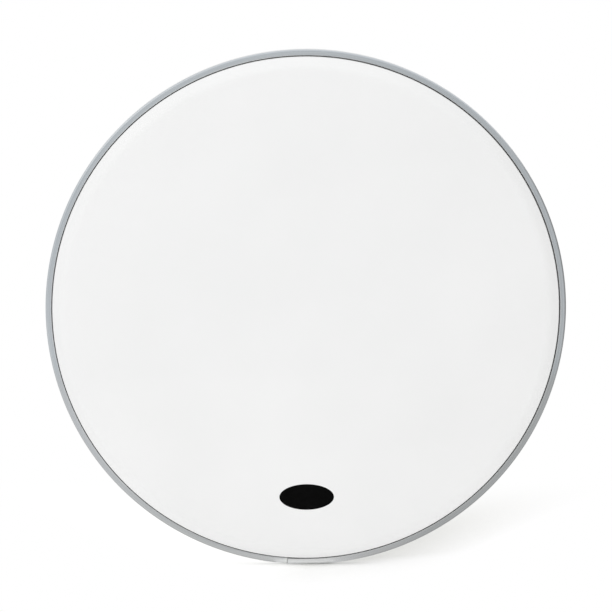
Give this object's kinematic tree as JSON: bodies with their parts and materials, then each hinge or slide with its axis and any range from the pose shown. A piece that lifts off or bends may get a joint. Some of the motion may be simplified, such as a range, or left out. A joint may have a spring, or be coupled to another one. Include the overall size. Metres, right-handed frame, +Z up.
{
  "type": "bass drum head",
  "caption": "Film bass drum head: a flat white playing face with a sloped collar, its folded edge locked in resin inside a rolled aluminium flesh hoop, with a plain oval badge.",
  "frame": {"origin": "on the head's axis, in the plane of the hoop's front face", "axes": "+Z up as the head stands on a bass drum, the axis along Y with the playing face towards -Y, +X to the right of someone who faces the head"},
  "size_m": [0.5778, 0.0227, 0.5777],
  "materials": {
    "film": "smooth satin white polyester film",
    "hoop": "satin rolled aluminium with fine drawn lines",
    "splice": "plain mill aluminium",
    "resin": "poured casting resin with a smooth free surface",
    "badge": "plain black decal"
  },
  "bodies": {
    "root": {"film_head": "film", "flesh_hoop": "hoop", "splice_plate": "splice", "resin_fill": "resin", "badge": "badge"}
  },
  "joints": []
}
